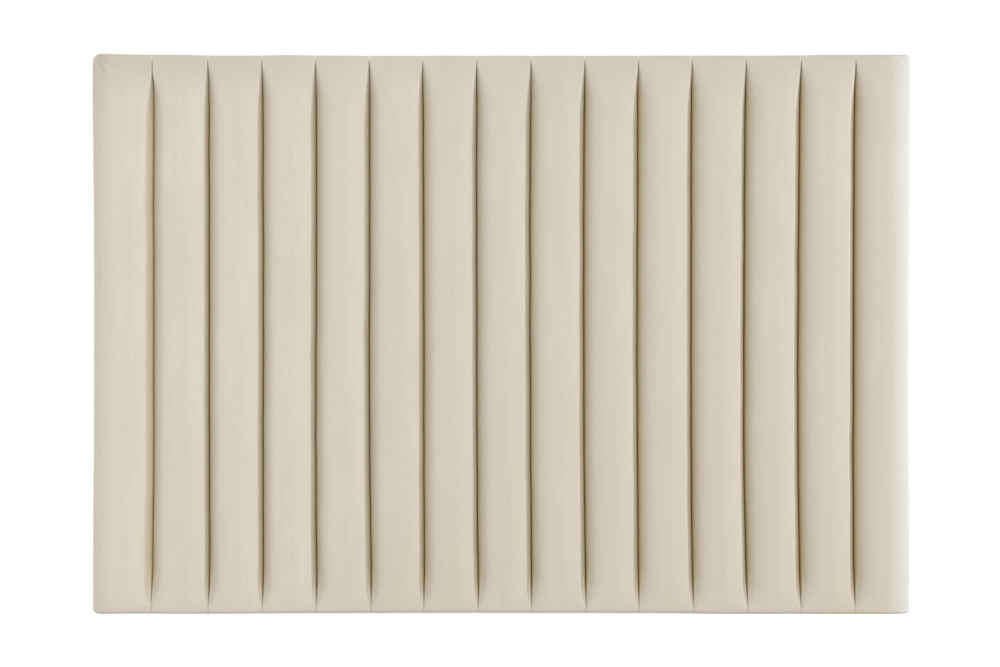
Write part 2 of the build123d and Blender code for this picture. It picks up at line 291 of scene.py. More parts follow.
def groove_side(part, seam, z):
    """A groove's shoulder or fold at height z: distances from the seam, and depths."""
    deep, wide = opening(z, seam, "deepen", part)
    if part == "shoulder":
        far = smooth((seam - LAST_NEAR) / CHANGE_OVER)
        shut, opened = LEFT_SHUT, np.array(LEFT_OPEN) * (1 - far) + np.array(LEFT_OPEN_FAR) * far
        extra, seed = 0.0, seam + 1.3
    else:
        shut, opened = RIGHT_SHUT, FIRST_FOLD_OPEN if seam == 0 else RIGHT_OPEN
        extra, seed = FOLD_EXTRA[seam], seam + 0.7
    waver = 1
    for most, size, more in GROOVE_WAVES:
        waver += most * uneven(0, z, size, seed + more) * wide
    points = []
    for i, ((shut_reach, shut_depth), (reach, depth)) in enumerate(zip(shut, opened)):
        reach += extra * min(reach / FOLD_EDGE, 1.0) if reach > SLIT_TO else 0.0
        if seam == 0 and SLIT_FROM < reach < SLIT_TO:
            reach *= FIRST_SLIT
        away = shut_reach + (reach - shut_reach) * wide
        if reach > SLIT_FROM:
            away *= waver
        points.append((away, shut_depth + (depth - shut_depth) * (deep if i < SLIT_POINTS else wide)))
    return points


def section(index, z):
    """The face of a strip at height z, from left to right: all its x, and depths below the crown."""
    left, right = seam_x(index - 1, z), seam_x(index, z)
    starts, ends = [(left + BORDER, 0.0)], [(right - BORDER, 0.0)]
    if index > 0:
        starts = [(left + a, d) for a, d in groove_side("shoulder", index - 1, z)]
    if index < COUNT - 1:
        ends = [(right - a, d) for a, d in reversed(groove_side("fold", index, z))]
    start, stop = starts[-1][0], ends[0][0]
    gaps = MIDDLE_COLUMNS + 1
    middle = [(start + (stop - start) * i / gaps, 0.0) for i in range(1, gaps)]
    return np.array(starts + middle + ends).T


def swell(x, z):
    """Slow unevenness of the stuffing, as a depth."""
    inside = smooth((min(x - LEFT, RIGHT - x, TOP - z, z - BOTTOM) - SWELL_START) / SWELL_OVER)
    slow = sum(most * uneven(x, z * upright, size, seed) for most, upright, size, seed in SWELLS)
    return SWELL_MIDDLE + slow * inside


def slope(most_and_reach, distance):
    """How far the front has fallen at that distance from an edge."""
    most, reach = most_and_reach
    return most * (1 - min(max(distance, 0.0) / reach, 1.0)) ** 2


def fall(x, z):
    """How far the front has fallen near the panel's four edges and its upper left corner."""
    if x > 0:
        total = slope(RIGHT_SLOPE, RIGHT - x)
    else:
        total = float(np.interp(x - LEFT, LEFT_SLOPE_PLACES, LEFT_SLOPE_DEPTHS))
    total += slope(TOP_SLOPE, outline_z(x, "top") - z)
    total += slope(CORNER_SLOPE, math.hypot(x - LEFT, TOP - z))
    return total + slope(BOTTOM_SLOPE, z - outline_z(x, "bottom"))


def pucker(x, z):
    """Shallow creases that fan out from the upper corners, as a depth."""
    total = 0.0
    for side, turn, strength in PUCKERS:
        along, down = (x - LEFT if side == "left" else RIGHT - x), TOP - z
        reach = math.hypot(along, down)
        if reach > PUCKER_REACH:
            continue
        angle = math.atan2(down, along)
        rise = smooth(reach / PUCKER_START) * (1 - smooth((reach - PUCKER_FADE_FROM) / PUCKER_FADE_OVER))
        sway = PUCKER_SWAY * math.sin(reach / PUCKER_SWAY_OVER)
        ripple = math.sin(angle * PUCKER_FOLDS + turn + sway)
        crease = strength * PUCKER_DEPTH * rise * ripple
        low, high = (angle - PUCKER_LOW[0]) / PUCKER_LOW[1], (PUCKER_HIGH[0] - angle) / PUCKER_HIGH[1]
        total += crease * smooth(low) * smooth(high)
    return total


def roll_drop(level, radius):
    """How far a rounded edge has fallen at that distance from the outline."""
    if level >= radius:
        return 0.0
    return radius - math.sqrt(max(radius * radius - (radius - level) ** 2, 0.0))


def border_front(core, outer, normal, radius, depth, groove_at):
    """A ray's points on the front and its rounded edge. groove_at gives x and depth at a height."""
    rows = []
    for level in FRONT_LEVELS:
        place = core + (outer - core) * (1 - level / BORDER)
        if groove_at:
            place[0], depth = groove_at(place[1])
        tilt = math.asin(min(max((radius - level) / radius, 0.0), 1.0))
        inward = -normal * math.sin(tilt)
        y = FRONT + roll_drop(level, radius) + depth * math.cos(tilt)
        y += (swell(*place) + pucker(*place)) * math.cos(tilt) + fall(*place)
        rows.append((place[0] + inward[0] * depth, y, place[1] + inward[1] * depth))
    return rows


def border_back(start, outer, normal, depth, mitre_to, end):
    """A ray's points down the wall, from where that starts, and round onto the back."""

    def settled(y):
        return np.array((0.0, normal[1] * abs(normal[1]) * settle(outer[0], y, end) if end else 0.0))

    rows = []
    stop = BACK - BACK_ROLL
    base = outer - normal * depth
    for share in WALL_SHARES:
        y = start + (stop - start) * share
        place = base + normal * WALL_BULGE * 4 * share * (1 - share) + settled(y)
        rows.append((place[0], y, place[1]))
    base = base + settled(BACK)
    for angle in BACK_ANGLES:
        turn = math.radians(angle)
        place = base - normal * (BACK_ROLL * (1 - math.cos(turn)))
        y = stop + BACK_ROLL * math.sin(turn) - depth * math.sin(turn) * BACK_DEPTH
        rows.append((place[0], y, place[1]))
    edge = base - normal * BACK_ROLL
    for level in TURN_IN_LEVELS:
        place = edge - normal * (level - BACK_ROLL)
        if mitre_to:
            place = edge + (np.array(mitre_to) - edge) * (level - BACK_ROLL) / (MITRE - BACK_ROLL)
        y = BACK - TURN_IN_SINK * smooth((level - BACK_ROLL) / TURN_IN_OVER) - depth * BACK_DEPTH
        rows.append((place[0], y, place[1]))
    return rows


def border_ray(core, outer, normal, radius, mitre_to, depth=0.0, end=None, groove_at=None):
    """The points of one ray of the border, from the core outwards and round onto the back."""
    core, outer, normal = (np.array(pair) for pair in (core, outer, normal))
    rows = border_front(core, outer, normal, radius, depth, groove_at)
    return rows + border_back(rows[-1][1], outer, normal, depth, mitre_to, end)


def corner_rays(side, end):
    """The rays round one corner of the panel, from its side to its top or bottom."""
    radius = CORNER_RADII[side][end]
    right, up = (1 if side == "left" else -1), (-1 if end == "top" else 1)
    z_core = EDGE[end] + up * BORDER
    x_edge, z_edge = side_x(side, z_core), outline_z(SIDE[side], end)
    core = (x_edge + right * BORDER, z_edge + up * BORDER)
    target = (x_edge + right * MITRE, z_edge + up * MITRE)
    fan = [(0.0, BORDER + (radius - BORDER) * share, 1.0, 0.0) for share in (0.35, 0.7, 1.0)]
    for i in range(1, CORNER_STEPS):
        turn = math.radians(90 * i / CORNER_STEPS)
        cos, sin = math.cos(turn), math.sin(turn)
        fan.append((radius * (1 - cos), radius * (1 - sin), cos, sin))
    fan += [(radius + (BORDER - radius) * share, 0.0, 0.0, 1.0) for share in (0.0, 0.3, 0.65)]
    rays = []
    for across, along, cos, sin in fan:
        outer = (x_edge + right * across, z_edge + up * along)
        roll = END_ROLL[end] + (side_radius(side, z_core) - END_ROLL[end]) * cos**2
        rays.append(border_ray(core, outer, (-right * cos, -up * sin), roll, target, end=end))
    return rays


def side_radius(side, z):
    """Radius of the rounded edge at the side, which nears that of the end at a corner."""
    end = "top" if TOP - z < z - BOTTOM else "bottom"
    reach = min(TOP - z, z - BOTTOM)
    return END_ROLL[end] + (SIDE_ROLL[side] - END_ROLL[end]) * smooth((reach - BORDER) / SIDE_ROLL_OVER)


def mitre_for(x, z):
    """Where the turned-in cover is drawn to on the back near a corner, or None elsewhere."""
    x_to = [edge for edge, reach in ((LEFT + MITRE, x - LEFT), (RIGHT - MITRE, RIGHT - x)) if reach < MITRE]
    z_to = [edge for edge, reach in ((TOP - MITRE, TOP - z), (BOTTOM + MITRE, z - BOTTOM)) if reach < MITRE]
    return (x_to[0], z_to[0]) if x_to and z_to else None


def core_heights():
    """Heights of the rows between the two borders, from below."""
    low = [BOTTOM + e for e in END_ROWS]
    high = [TOP - e for e in reversed(END_ROWS)]
    count = round((high[0] - low[-1]) / ROW_PITCH)
    middle = [low[-1] + (high[0] - low[-1]) * i / count for i in range(1, count)]
    return low + middle + high


def add_points(points, more):
    """Adds some points to a list and returns their numbers."""
    start = len(points)
    points.extend(more)
    return list(range(start, len(points)))


class CoverStrip:
    """The outer face of one strip of cover, and how near its points are to a shut seam."""

    def __init__(self, index):
        self.index, self.heights = index, core_heights()
        self.points, self.faces, self.marks = [], [], {}
        self.core = [add_points(self.points, self.core_row(z)) for z in self.heights]
        for low, high in zip(self.core, self.core[1:]):
            for i in range(len(low) - 1):
                self.faces.append((low[i], low[i + 1], high[i + 1], high[i]))
        for chain in self.chains():
            for here, there in zip(chain, chain[1:]):
                for k in range(len(here) - 1):
                    quad = (here[k], there[k], there[k + 1], here[k + 1])
                    self.faces.append(tuple(dict.fromkeys(quad)))

    def core_row(self, z):
        """The points between the borders at height z."""
        row = []
        for x, depth in zip(*section(self.index, z)):
            calm = 1 - smooth((depth - CALM_START) / CALM_OVER)
            y = FRONT + depth + fall(x, z) + (swell(x, z) + pucker(x, z)) * calm
            row.append((x, y, z))
        return row

    def chains(self):
        """Rays side by side along the outer edges, each as the numbers of its points."""
        top, bottom = self.end_rays("top"), self.end_rays("bottom")
        if 0 < self.index < COUNT - 1:
            return [top, bottom]
        side = "left" if self.index == 0 else "right"
        if side == "right":
            top, bottom = top[::-1], bottom[::-1]
        fan_top = [self.add_ray(top[0][0], ray) for ray in corner_rays(side, "top")]
        fan_bottom = [self.add_ray(bottom[0][0], ray) for ray in corner_rays(side, "bottom")]
        return [bottom[::-1] + fan_bottom[::-1] + self.side_rays(side) + fan_top + top]

    def add_ray(self, start, points):
        """Adds a ray's points, and returns their numbers after that of its start."""
        return [start, *add_points(self.points, points)]

    def end_rays(self, end):
        """The rays over the top or bottom edge, from left to right."""
        row = -1 if end == "top" else 0
        xs, depths = section(self.index, EDGE[end])
        seams = [x for side, x in ((0, xs[0]), (COUNT - 1, xs[-1])) if self.index != side]
        rays = []
        for i, start in enumerate(self.core[row]):
            core, outer = (self.points[start][0], self.heights[row]), (xs[i], outline_z(xs[i], end))
            ray = border_ray(
                core, outer, OUTWARD[end], END_ROLL[end], mitre_for(outer[0], EDGE[end]), depths[i], end,
                lambda z, i=i: section(self.index, z)[:, i],
            )
            rays.append(self.add_ray(start, ray))
            near = 1 - smooth((min(abs(xs[i] - x) for x in seams) - SEAM_MARK) / SEAM_MARK_OVER)
            for k, number in enumerate(rays[-1][1:]):
                level = FRONT_LEVELS[k] if k < len(FRONT_LEVELS) else 0.0
                self.marks[number] = near * (1 - smooth((level - MARK_LEVEL) / MARK_LEVEL))
        return rays

    def side_rays(self, side):
        """The rays over the panel's left or right edge, from below."""
        rays = []
        for row, z in zip(self.core, self.heights):
            start, edge = row[0 if side == "left" else -1], side_x(side, z)
            core = (self.points[start][0], z)
            ray = border_ray(core, (edge, z), OUTWARD[side], side_radius(side, z), mitre_for(edge, z))
            rays.append(self.add_ray(start, ray))
        return rays

    def store_marks(self, piece):
        """Stores the marks of the seams, which the finish reads."""
        layer = piece.data.attributes.new("seam_line", "FLOAT", "POINT")
        marks = [self.marks.get(i, 0.0) for i in range(len(self.points))]
        layer.data.foreach_set("value", np.array(marks, dtype=np.float32))


def swept(*parts):
    """Points and faces of closed parts, each given as rings of points."""
    points, faces = [], []
    for part in parts:
        rings = [add_points(points, ring) for ring in part]
        for low, high in zip(rings, rings[1:]):
            for i in range(len(low)):
                k = (i + 1) % len(low)
                faces.append((low[i], low[k], high[k], high[i]))
        faces += [tuple(rings[0]), tuple(reversed(rings[-1]))]
    return points, faces


def add_object(name, data):
    made = bpy.data.objects.new(name, data)
    scene.collection.objects.link(made)
    return made


def mesh_object(name, points, faces, outward=None, rounded=True):
    """A mesh object. outward is the direction that an open one faces."""
    mesh = bpy.data.meshes.new(name)
    mesh.from_pydata([tuple(c * MM for c in p) for p in points], [], faces)
    built = bmesh.new()
    built.from_mesh(mesh)
    bmesh.ops.recalc_face_normals(built, faces=built.faces)
    if outward is not None:
        total = sum((f.normal * f.calc_area() for f in built.faces), Vector())
        if total.dot(Vector(outward)) < 0:
            bmesh.ops.reverse_faces(built, faces=built.faces)
    built.to_mesh(mesh)
    built.free()
    for polygon in mesh.polygons:
        polygon.use_smooth = rounded
    return add_object(name, mesh)


def give_thickness(piece, thickness):
    """Turns a piece's outer face into cloth of that thickness."""
    cloth = piece.modifiers.new("cloth", "SOLIDIFY")
    cloth.thickness = thickness * MM
    cloth.offset = -1.0


# Materials
WHITE = (1.0, 1.0, 1.0, 1.0)
# A darker velvet, used for the random streaks and pile and also as painted shade on the right part and near
# the top and left edges
VELVET_DARK = (206, 197, 182)


def linear(red, green, blue):
    """A colour given as sRGB numbers from 0 to 255, as Blender wants it."""
    out = []
    for c in (red, green, blue):
        c /= 255
        out.append(c / 12.92 if c <= 0.04045 else ((c + 0.055) / 1.055) ** 2.4)
    return (*out, 1.0)


class Nodes:
    """A short way to write the nodes of a material or of the world."""

    def __init__(self, owner, shader="Principled BSDF"):
        owner.use_nodes = True
        self.owner, self.tree = owner, owner.node_tree
        self.shader = self.tree.nodes[shader]

    def add(self, kind, settings=None, **inputs):
        """A new node, with its settings and its inputs."""
        node = self.tree.nodes.new(kind)
        for key, value in (settings or {}).items():
            setattr(node, key, value)
        for key, value in inputs.items():
            self.give(node, key, value)
        return node

    def give(self, node, key, value):
        """Sets or links an input, by its name with underscores, or by an underscore and its number."""
        socket = node.inputs[int(key[1:]) if key[1:].isdigit() else key.replace("_", " ")]
        if isinstance(value, bpy.types.NodeSocket):
            self.tree.links.new(value, socket)
        else:
            socket.default_value = value

    def place(self, scale=(1.0, 1.0, 1.0)):
        """Object coordinates, stretched."""
        coordinates = self.add("ShaderNodeTexCoord")
        mapping = self.add("ShaderNodeMapping", Vector=coordinates.outputs["Object"], Scale=scale)
        return mapping.outputs["Vector"]

    def noise(self, scale, detail=3.0, roughness=0.5, stretch=(1.0, 1.0, 1.0), distortion=0.0):
        sizes = {"Scale": scale, "Detail": detail, "Roughness": roughness, "Distortion": distortion}
        return self.add("ShaderNodeTexNoise", Vector=self.place(stretch), **sizes).outputs["Fac"]

    def cells(self, scale):
        return self.add("ShaderNodeTexVoronoi", Vector=self.place(), Scale=scale).outputs["Distance"]

    def between(self, value, low, high, out_low=0.0, out_high=1.0):
        """A value from low to high becomes one from out_low to out_high."""
        limits = {"From_Min": low, "From_Max": high, "To_Min": out_low, "To_Max": out_high}
        return self.add("ShaderNodeMapRange", Value=value, **limits).outputs["Result"]

    def between_mm(self, value, low, high, out_low=0.0, out_high=1.0):
        """The same for a length, with low and high in millimetres."""
        return self.between(value, low * MM, high * MM, out_low, out_high)

    def math(self, operation, a, b=0.5):
        return self.add("ShaderNodeMath", {"operation": operation}, _0=a, _1=b).outputs[0]

    def times(self, value, *more):
        for factor in more:
            value = self.math("MULTIPLY", value, factor)
        return value

    def layers(self, base, *tints):
        """A colour under some tints, each its share and its colour, all in sRGB numbers."""
        colour = linear(*base)
        for share, *tint in tints:
            mix = self.add("ShaderNodeMix", {"data_type": "RGBA"}, _0=share, _6=colour, _7=linear(*tint))
            colour = mix.outputs[2]
        return colour

    def bump(self, height, distance, strength):
        node = self.add("ShaderNodeBump", Height=height, Distance=distance, Strength=strength)
        return node.outputs["Normal"]

    def seen_directly(self):
        """1 for rays that see it, also through gloss and glass, and 0 for the light that it gives."""
        path = self.add("ShaderNodeLightPath")
        total = path.outputs["Is Camera Ray"]
        for name in ("Is Glossy Ray", "Is Transmission Ray"):
            total = self.math("MAXIMUM", total, path.outputs[name])
        return total

    def finish(self, colour, roughness, relief=None, **more):
        """Gives the shader its inputs, and returns the material. relief is what bump takes."""
        if relief:
            more["Normal"] = self.bump(*relief)
        for key, value in {"Base_Color": colour, "Roughness": roughness, **more}.items():
            self.give(self.shader, key, value)
        return self.owner


def new_material(name):
    return Nodes(bpy.data.materials.new(name))


def velvet_zones(nodes):
    """Tints by place: painted shade over the right part, near the top and left edges, in the grooves and in
    their slits; marks along shut seams; and a painted sheen highlight along the right edge.
    """
    ramp = nodes.between_mm
    parts = nodes.add("ShaderNodeSeparateXYZ", Vector=nodes.place())
    x, y, z = (parts.outputs[axis] for axis in "XYZ")
    face = ramp(y, FRONT + 15.0, FRONT + 28.0, 1.0, 0.0)
    painted_top_shade = nodes.times(ramp(z, TOP - 90.0, TOP - 25.0), ramp(x, -500.0, -300.0, 0.85, 0.25))
    painted_left_shade = ramp(x, LEFT + 16.0, LEFT + 36.0, 0.35, 0.0)
    half_height = (TOP - BOTTOM) / 2
    from_middle = nodes.math("ABSOLUTE", nodes.math("SUBTRACT", z, (TOP + BOTTOM) / 2 * MM))
    between_sides = ramp(nodes.math("ABSOLUTE", x), RIGHT - 70.0, RIGHT - 45.0, 1.0, 0.0)
    between_ends = ramp(from_middle, half_height - 18.0, half_height - 10.0, 1.0, 0.0)
    inside = nodes.times(between_sides, between_ends, ramp(y, BOARD - 1.5, BOARD, 1.0, 0.0))
    shallow = ramp(from_middle, half_height - 90.0, half_height - 30.0, 0.0, 9.0 * MM)
    slit = ramp(nodes.math("ADD", y, shallow), FRONT + 21.0, FRONT + 31.0)
    seam = nodes.add("ShaderNodeAttribute", {"attribute_name": "seam_line"}).outputs["Fac"]
    upper = ramp(z, 500.0, 600.0)
    return (
        # Painted shade: the right part of the panel is darker, where less light falls
        (ramp(x, -420.0, -220.0, 0.0, 0.26), *VELVET_DARK),
        # Painted shade: darker near the top edge, most towards the left, and along the left edge, where the
        # front rolls away from the light
        (nodes.times(nodes.math("MAXIMUM", painted_top_shade, painted_left_shade), face), *VELVET_DARK),
        # Painted shade: browner deep in the grooves, for the light that bounces and dims there
        (nodes.times(ramp(y, FRONT + 5.0, FRONT + 24.0), inside), 197, 184, 147),
        # Painted shade: an olive colour in the slits at the grooves' bottoms
        (nodes.times(slit, inside), 196, 166, 90),
        (nodes.times(seam, upper, 0.6), 240, 235, 224),
        (nodes.times(seam, nodes.math("SUBTRACT", 1.0, upper), 0.35), 160, 146, 116),
        # Painted highlight: a cool, pale sheen along the right edge of the front
        (nodes.times(ramp(x, RIGHT - 36.0, RIGHT - 1.0), face, 0.45), 231, 237, 243),
    )


def velvet():
    """Short pile, shot with patches and streaks, under painted shade and a painted highlight: browner deep
    in the grooves, darker on the right and near the top and left edges, and a pale sheen along the right
    edge.
    """
    nodes = new_material("velvet")
    patches = nodes.noise(7.0, 4.0, 0.55, (1.0, 1.0, 0.6))
    shot = nodes.noise(19.0, 3.0, 0.6, (1.0, 1.0, 0.3))
    streaks = nodes.noise(46.0, 3.0, 0.6, (1.0, 1.0, 0.09))
    strokes = nodes.noise(150.0, 3.0, 0.6, (1.0, 1.0, 0.4))
    pile = nodes.noise(1100.0, 3.0, 0.7)
    colour = nodes.layers(
        (218, 208, 194),
        (nodes.between(patches, 0.35, 0.65), 221, 213, 200),
        (nodes.between(shot, 0.45, 0.62, 0.0, 0.55), 213, 209, 193),
        (nodes.between(streaks, 0.45, 0.75, 0.0, 0.36), *VELVET_DARK),
        (nodes.between(strokes, 0.5, 0.8, 0.0, 0.35), *VELVET_DARK),
        (nodes.between(pile, 0.35, 0.65, 0.0, 0.35), *VELVET_DARK),
        *velvet_zones(nodes),
    )
    height = nodes.math("ADD", nodes.times(streaks, 0.15), nodes.times(pile, 0.35))
    roughness = nodes.between(pile, 0.2, 0.8, 0.82, 0.96)
    sheen = {"Sheen_Weight": 0.3, "Sheen_Roughness": 0.4, "Specular_IOR_Level": 0.25}
    return nodes.finish(colour, roughness, (height, 0.0004, 0.5), **sheen)


def foam(name, base, tint):
    nodes = new_material(name)
    cells = nodes.cells(900.0)
    patches = nodes.between(nodes.noise(12.0), 0.3, 0.7)
    colour = nodes.layers(base, (patches, *tint), (nodes.between(cells, 0.0, 0.5, 0.4, 0.0), 150, 132, 96))
    return nodes.finish(colour, 0.95, (cells, 0.0005, 0.8), Specular_IOR_Level=0.2)


def grained(name, base, coarse, fine, roughness, relief):
    """A finish with a coarse pattern and a fine one, each its noise, its limits and its tint."""
    nodes = new_material(name)
    tints = []
    for sizes, limits, tint in (coarse, fine):
        pattern = nodes.noise(*sizes)
        tints.append((nodes.between(pattern, *limits), *tint))
    if not isinstance(roughness, float):
        roughness = nodes.between(pattern, *roughness)
    return nodes.finish(nodes.layers(base, *tints), roughness, (pattern, *relief))


def wood():
    coarse = ((14.0, 6.0, 0.5, (1.0, 4.0, 4.0), 1.4), (0.35, 0.65), (196, 156, 102))
    fine = ((420.0, 3.0, 0.6, (0.08, 1.0, 0.08)), (0.4, 0.7, 0.0, 0.5), (170, 128, 80))
    return grained("frame_wood", (222, 190, 140), coarse, fine, (0.3, 0.7, 0.55, 0.75), (0.0003, 0.6))


def plywood():
    coarse = ((9.0, 6.0, 0.6, (0.6, 3.0, 5.0)), (0.35, 0.65), (190, 152, 104))
    fine = ((600.0, 2.0, 0.6, (0.05, 1.0, 1.0)), (0.45, 0.7, 0.0, 0.4), (160, 122, 80))
    return grained("plywood", (214, 182, 136), coarse, fine, 0.7, (0.0002, 0.5))


def cardboard():
    coarse = ((20.0,), (0.3, 0.7), (172, 142, 104))
    fine = ((700.0, 3.0, 0.6), (0.4, 0.7, 0.0, 0.5), (140, 112, 80))
    return grained("listing_card", (186, 158, 120), coarse, fine, 0.9, (0.0002, 0.5))


def metal(name, base, spots):
    nodes = new_material(name)
    wear = nodes.noise(180.0, 4.0, 0.6)
    colour = nodes.layers(base, (nodes.between(nodes.cells(500.0), 0.0, 0.6), *spots))
    roughness = nodes.between(wear, 0.3, 0.7, 0.28, 0.5)
    return nodes.finish(colour, roughness, (wear, 0.0001, 0.4), Metallic=1.0)


def dust_cloth():
    nodes = new_material("dust_cloth")
    patches = nodes.between(nodes.noise(6.0), 0.3, 0.7)
    fine = nodes.noise(500.0, 4.0, 0.7, (1.0, 1.0, 0.7))
    fibres = nodes.between(fine, 0.45, 0.7, 0.0, 0.6)
    colour = nodes.layers((52, 51, 50), (patches, 62, 61, 59), (fibres, 84, 83, 80))
    height = nodes.math("ADD", nodes.times(fine, 0.6), nodes.times(nodes.cells(420.0), 0.6))
    return nodes.finish(colour, 0.88, (height, 0.0003, 0.7), Specular_IOR_Level=0.3)


def nylon():
    nodes = new_material("glide_nylon")
    grain = nodes.noise(900.0, 2.0, 0.6)
    scuffs = nodes.between(nodes.noise(60.0, 4.0, 0.6, (1.0, 0.2, 1.0)), 0.45, 0.7)
    colour = nodes.layers((224, 222, 214), (scuffs, 206, 203, 194))
    return nodes.finish(colour, nodes.between(grain, 0.3, 0.7, 0.4, 0.55), (grain, 0.0001, 0.5))


FINISHES = {
    "velvet": velvet(),
    "channel_foam": foam("channel_foam", (238, 226, 190), (232, 216, 172)),
    "edge_foam": foam("edge_foam", (226, 226, 220), (214, 214, 206)),
    "listing_card": cardboard(),
    "plywood": plywood(),
    "frame_wood": wood(),
    "staple_wire": metal("staple_wire", (196, 196, 194), (176, 176, 174)),
    "zinc_steel": metal("zinc_steel", (206, 204, 196), (186, 186, 178)),
    "dust_cloth": dust_cloth(),
    "glide_nylon": nylon(),
}


def dress(piece, slot, *nodes):
    """Gives a new piece its finish and its body, and lets it stand for CAD nodes."""
    piece.data.materials.clear()
    piece.data.materials.append(FINISHES[slot])
    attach(piece, "root")
    if nodes:
        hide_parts(*nodes)
    return piece


# Foam strips: how far inside the cover they lie, and the room for the listings
SKIN = 2.3
FACE_GAP = 3.2
LISTING_BACK = BOARD - 2.4
LISTING_REACH = 6.4
# Up to this distance from the ends the foam's section is the same
FOAM_EVEN = 200.0
# Its rows: distances from the ends, and how many there are between
FOAM_ENDS = (0.0, 0.6, 2.0, 4.5, 8.0, 13.0, 20.0, 45.0, 90.0)
FOAM_ROWS = 12
FOAM_ROWS_FROM = 150.0


def corner_inset(side, end, reach):
    """How far a rounded corner has drawn in at that distance from its other edge."""
    return roll_drop(max(reach, 0.0), CORNER_RADII[side][end])


def drawn_at(side, z):
    """How far a side's two corners have drawn in at height z."""
    high, low = outline_z(SIDE[side], "top") - z, z - outline_z(SIDE[side], "bottom")
    return corner_inset(side, "top", high) + corner_inset(side, "bottom", low)


def foam_side(index, side, z):
    """One side of a foam strip at height z: where its seam is, its base and its face."""
    inward, seam = (1, index - 1) if side == "left" else (-1, index)
    edge = seam_x(seam, z)
    if 0 <= seam < COUNT - 1:
        even = min(max(z, BOTTOM + FOAM_EVEN), TOP - FOAM_EVEN)
        points = groove_side("shoulder" if side == "left" else "fold", seam, even)[1:]
        base = [(edge + inward * LISTING_REACH, BOARD), (edge + inward * LISTING_REACH, LISTING_BACK)]
    else:
        edge += inward * drawn_at(side, z)
        points = [(level, roll_drop(level, SIDE_ROLL[side])) for level in FRONT_LEVELS[::-1]]
        base = []
    face = [(edge + inward * (away + SKIN), depth) for away, depth in points]
    base += [(face[0][0], LISTING_BACK if base else BOARD)]
    return edge, base, face


def foam_outline(index, z):
    """The closed outline of a foam strip at height z, as (x, y) points."""
    left, left_base, left_face = foam_side(index, "left", z)
    right_base, right_face = foam_side(index, "right", z)[1:]
    high, low = outline_z(left, "top") - z - SKIN, z - outline_z(left, "bottom") - SKIN
    least = max(roll_drop(max(high, 0.0), END_ROLL["top"]), roll_drop(max(low, 0.0), END_ROLL["bottom"]))
    face = [
        (x, min(FRONT + FACE_GAP + max(depth, least) + fall(x, z), LISTING_BACK))
        for x, depth in left_face + right_face[::-1]
    ]
    return left_base + face + right_base[::-1]


def foam_mesh(index):
    """A closed foam strip, with rounded ends."""
    middle_x = (seam_x(index - 1, TOP) + seam_x(index, TOP)) / 2
    low_end = outline_z(middle_x, "bottom") + SKIN + SEAM_DIP
    high_end = outline_z(middle_x, "top") - SKIN - SEAM_DIP
    heights = [low_end + e for e in FOAM_ENDS]
    heights += list(np.linspace(BOTTOM + FOAM_ROWS_FROM, TOP - FOAM_ROWS_FROM, FOAM_ROWS))
    heights += [high_end - e for e in reversed(FOAM_ENDS)]
    return swept([[(x, y, z) for x, y in foam_outline(index, z)] for z in heights])


for number in range(COUNT):
    strip = mesh_object(f"foam_strip_{number + 1:02d}", *foam_mesh(number))
    dress(strip, "channel_foam", f"foam_channel_{number + 1:02d}")

# Listing strips, which hold the seams down on the board
LISTING_HALF, LISTING_THICK, LISTING_ENDS = 6.0, 2.0, 6.0
LISTING_ROWS = 30
LISTING_SECTION = [
    (-LISTING_HALF, BOARD), (-LISTING_HALF, BOARD - LISTING_THICK),
    (LISTING_HALF, BOARD - LISTING_THICK), (LISTING_HALF, BOARD),
]


def listing_mesh():
    """A thin strip under each seam, which stops short of the panel's ends."""
    parts = []
    for seam in range(COUNT - 1):
        low = outline_z(SEAMS[seam], "bottom") + LISTING_ENDS
        high = outline_z(SEAMS[seam], "top") - LISTING_ENDS
        heights = np.linspace(low, high, LISTING_ROWS)
        parts.append([[(seam_x(seam, z) + x, y, z) for x, y in LISTING_SECTION] for z in heights])
    return swept(*parts)


listing = mesh_object("seam_listings", *listing_mesh(), rounded=False)
dress(listing, "listing_card", "listing_strips")

# Soft pads round the frame. Their section is in distances from the front and shares of the way out.
FRAME_LOW, FRAME_HIGH = (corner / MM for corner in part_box("front_board"))
PAD_GAP = CLOTH + 0.9
PAD_DEPTH = 42.0
PAD_OVERHANG = 4.5
PAD_HALF = ((0.4, 0.0), (0.4, 0.55), (1.2, 0.85), (3.0, 0.97), (12.0, 1.0), (PAD_DEPTH / 2, 1.0))
PAD_SECTION = PAD_HALF + tuple((PAD_DEPTH - back, share) for back, share in PAD_HALF[-2::-1])


def pad_limits(side, place, y):
    """Where a pad starts on the frame and ends under the cover, at a place along it."""
    if side in SIDE:
        inward = drawn_at(side, place) + PAD_GAP
        if side == "left":
            return FRAME_LOW.x, side_x(side, place) + inward
        return FRAME_HIGH.x, side_x(side, place) - inward
    near = "left" if place < 0 else "right"
    inset = corner_inset(near, side, min(place - side_x("left", TOP), side_x("right", TOP) - place))
    if side == "top":
        return FRAME_HIGH.z, outline_z(place, side) + settle(place, y, side) - inset - PAD_GAP
    return FRAME_LOW.z, BOTTOM + inset + PAD_GAP


def pad_mesh(side):
    """A strip of wadding along one edge of the frame."""
    if side in SIDE:
        places = np.linspace(FRAME_LOW.z + 1, FRAME_HIGH.z - 1, 60)
    else:
        places = np.linspace(FRAME_LOW.x - PAD_OVERHANG, FRAME_HIGH.x + PAD_OVERHANG, 90)
    rings = []
    for place in places:
        ring = []
        for back, share in PAD_SECTION:
            y = BOARD + back
            base, outer = pad_limits(side, place, y)
            across = base + (outer - base) * share
            ring.append((across, y, place) if side in SIDE else (place, y, across))
        rings.append(ring)
    return swept(rings)


for pad_side in ("top", "bottom", "left", "right"):
    pad = mesh_object(f"edge_foam_{pad_side}", *pad_mesh(pad_side))
    dress(pad, "edge_foam", f"{pad_side}_edge_pad")


# Velvet cover
def path_length(points):
    """Length of a line of points, in metres."""
    return float(sum(np.linalg.norm(np.subtract(b, a)) for a, b in zip(points, points[1:]))) * MM


